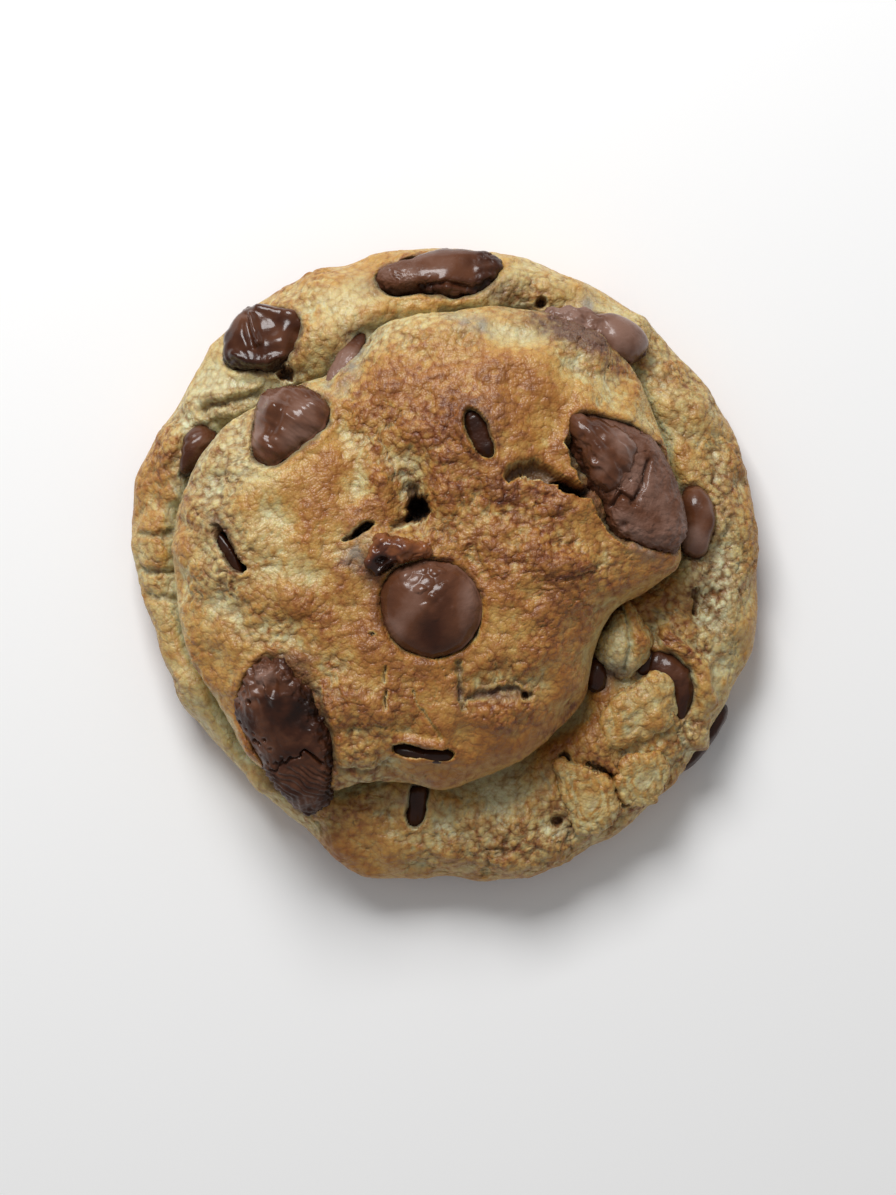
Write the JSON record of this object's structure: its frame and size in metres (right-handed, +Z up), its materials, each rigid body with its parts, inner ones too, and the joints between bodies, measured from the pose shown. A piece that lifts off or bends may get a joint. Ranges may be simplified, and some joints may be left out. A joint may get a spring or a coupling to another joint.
{
  "type": "chocolate chip cookie",
  "caption": "Thick round chocolate chip cookie with a craggy domed crown on a wider skirt and chocolate pieces sunk in the dough.",
  "frame": {"origin": "centre of the cookie's box at its flat bottom", "axes": "+Z up from the flat bottom, +X to the right and +Y to the far side as seen from above"},
  "size_m": [0.0798, 0.0802, 0.0249],
  "materials": {
    "dough": "baked dough, golden brown on the tops and pale in the creases",
    "chocolate": "melted and set milk chocolate, satin to glossy"
  },
  "bodies": {
    "root": {"dough": "dough", "chip_centre": "chocolate", "chip_left_shoulder": "chocolate", "chip_sliver": "chocolate", "chip_slot": "chocolate", "chip_right": "chocolate", "chip_lower_left": "chocolate", "chip_smile": "chocolate", "chip_left_pit": "chocolate", "chip_upper_left": "chocolate", "chip_left_crease": "chocolate", "chip_top_edge": "chocolate", "chip_upper_right": "chocolate", "chip_right_crease": "chocolate", "chip_pit_left": "chocolate", "chip_pit_right": "chocolate", "chip_ribbon": "chocolate", "chip_bottom_slot": "chocolate", "chip_side": "chocolate"}
  },
  "joints": []
}
